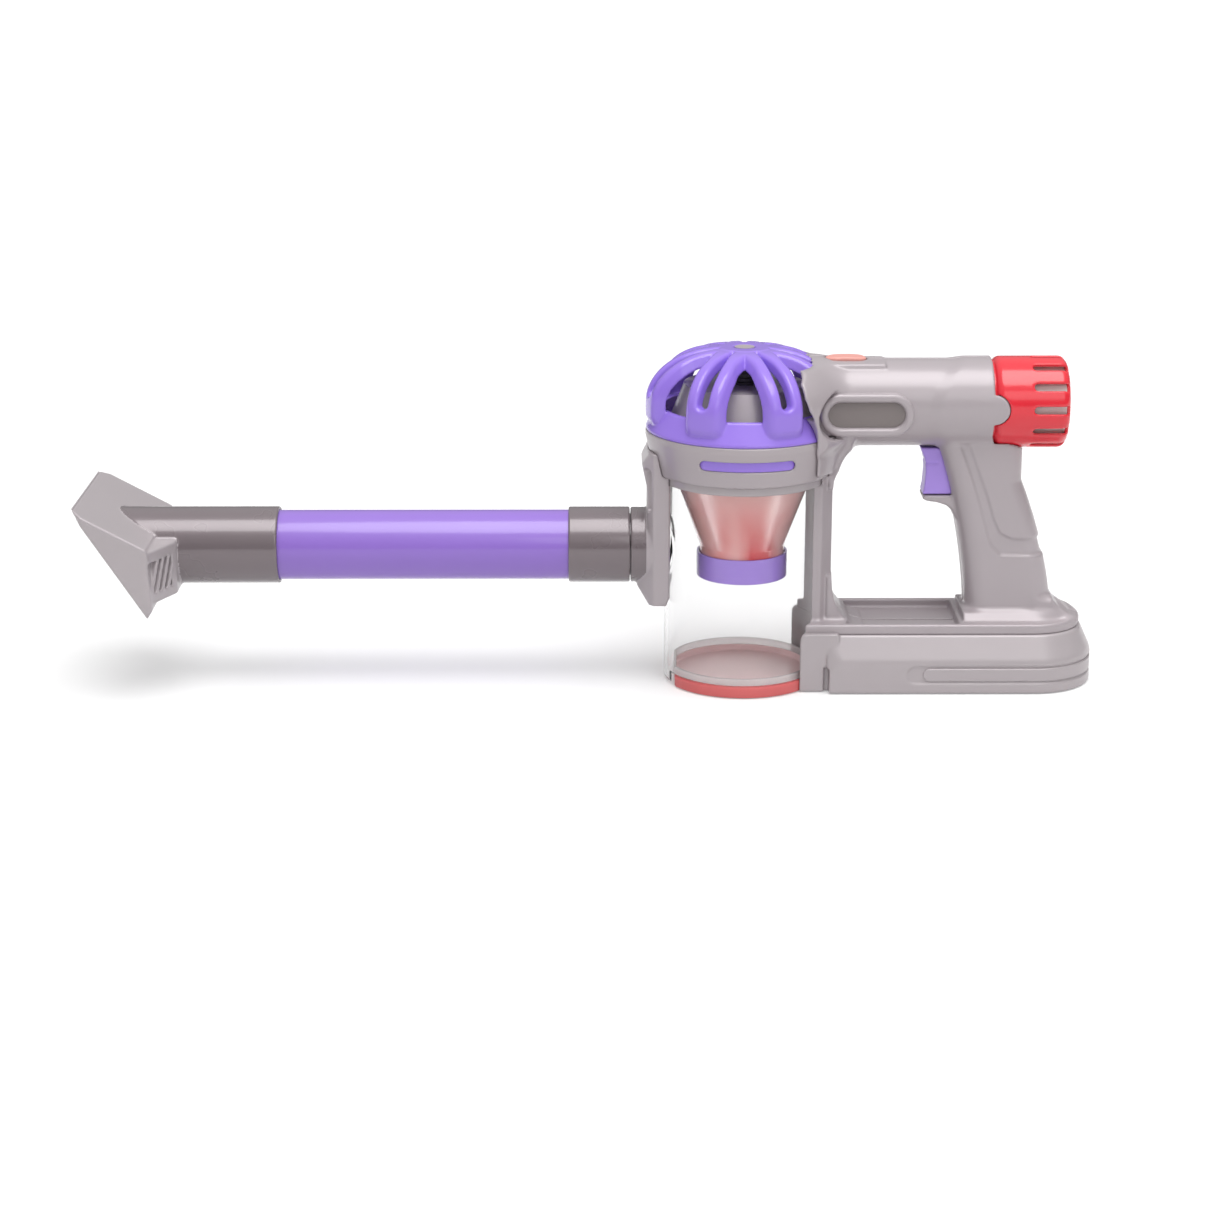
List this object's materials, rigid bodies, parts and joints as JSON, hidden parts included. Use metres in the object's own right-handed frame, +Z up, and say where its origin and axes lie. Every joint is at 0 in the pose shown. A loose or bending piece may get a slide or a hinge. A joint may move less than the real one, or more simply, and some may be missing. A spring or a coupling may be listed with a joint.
{
  "type": "toy stick vacuum cleaner",
  "caption": "Toy stick vacuum cleaner with a clear dust bin, ribbed cyclone cover, pistol grip with trigger, pull-off wand and a turning wedge-shaped floor head.",
  "frame": {"origin": "on the bin's axis, at the flat underside of the bin lid", "axes": "+X to the rear of the handle, away from the floor head; +Y to the far side in the picture; +Z up"},
  "size_m": [0.5598, 0.108, 0.188],
  "materials": {
    "grey_plastic": "fine moulded texture",
    "dark_grey_plastic": "fine moulded texture",
    "purple_plastic": "polished",
    "red_plastic": "polished",
    "red_clear": "see-through tinted plastic",
    "clear": "see-through plastic",
    "pink_plastic": "polished",
    "black_plastic": "plain",
    "white_plastic": "plain",
    "steel": "plain",
    "contact": "plated",
    "board": "plain",
    "cell": "printed sleeve"
  },
  "bodies": {
    "body": {"lid_hinge_pin": "steel", "clear_bin": "clear", "bin_collar": "grey_plastic", "cyclone_ring": "grey_plastic", "ring_slot_insert": "purple_plastic", "cyclone_cover": "purple_plastic", "cover_hub_cap": "grey_plastic", "motor_housing": "grey_plastic", "ribbed_column": "black_plastic", "drive_motor": "steel", "shroud_cone": "red_clear", "shroud_ring": "purple_plastic", "inlet_bracket": "grey_plastic", "inlet_spigot": "dark_grey_plastic", "body_near": "grey_plastic", "body_far": "grey_plastic", "body_screws": "steel", "rear_cap": "red_plastic", "filter_core": "white_plastic", "trigger_spring": "steel", "trigger_switch": "black_plastic", "button_spring": "steel", "button_switch": "black_plastic", "circuit_board": "board", "badge_bezel": "grey_plastic", "badge_plate": "dark_grey_plastic", "base_shell": "grey_plastic", "base_trim": "grey_plastic", "base_cover": "dark_grey_plastic", "cover_screws": "steel", "battery_door": "dark_grey_plastic", "door_screw": "steel", "battery_tray": "black_plastic", "battery_1": "cell", "battery_2": "cell", "battery_3": "cell", "front_contacts": "contact", "rear_contacts": "contact"},
    "lid": {"bin_lid": "red_plastic"},
    "wand": {"wand_cuff": "dark_grey_plastic", "wand_tube": "purple_plastic"},
    "head": {"head_shell": "grey_plastic", "head_sole": "dark_grey_plastic"},
    "trigger": {"trigger": "purple_plastic"},
    "button": {"top_button": "pink_plastic"},
    "fan": {"fan_wheel": "white_plastic", "motor_shaft": "steel"}
  },
  "joints": [
    {"name": "lid_hinge", "type": "hinge", "parent": "body", "child": "lid", "pos_m": [0.0475, 0, 0.00325], "axis": [0, -1, 0], "range_deg": [0, 85]},
    {"name": "wand_slide", "type": "slide", "parent": "body", "child": "wand", "axis": [-1, 0, 0], "range_m": [0, 0.03]},
    {"name": "head_turn", "type": "hinge", "parent": "wand", "child": "head", "pos_m": [-0.3, 0, 0.0765], "axis": [1, 0, 0], "range_deg": [-90, 90]},
    {"name": "trigger_slide", "type": "slide", "parent": "body", "child": "trigger", "axis": [1, 0, 0], "range_m": [0, 0.005], "stiffness_N_per_m": 400, "deforming": ["trigger_spring"]},
    {"name": "button_slide", "type": "slide", "parent": "body", "child": "button", "axis": [0, 0, -1], "range_m": [0, 0.0016], "stiffness_N_per_m": 600, "deforming": ["button_spring"]},
    {"name": "fan_spin", "type": "hinge", "parent": "body", "child": "fan", "pos_m": [0, 0, 0.13], "axis": [0, 0, 1], "continuous": true}
  ]
}
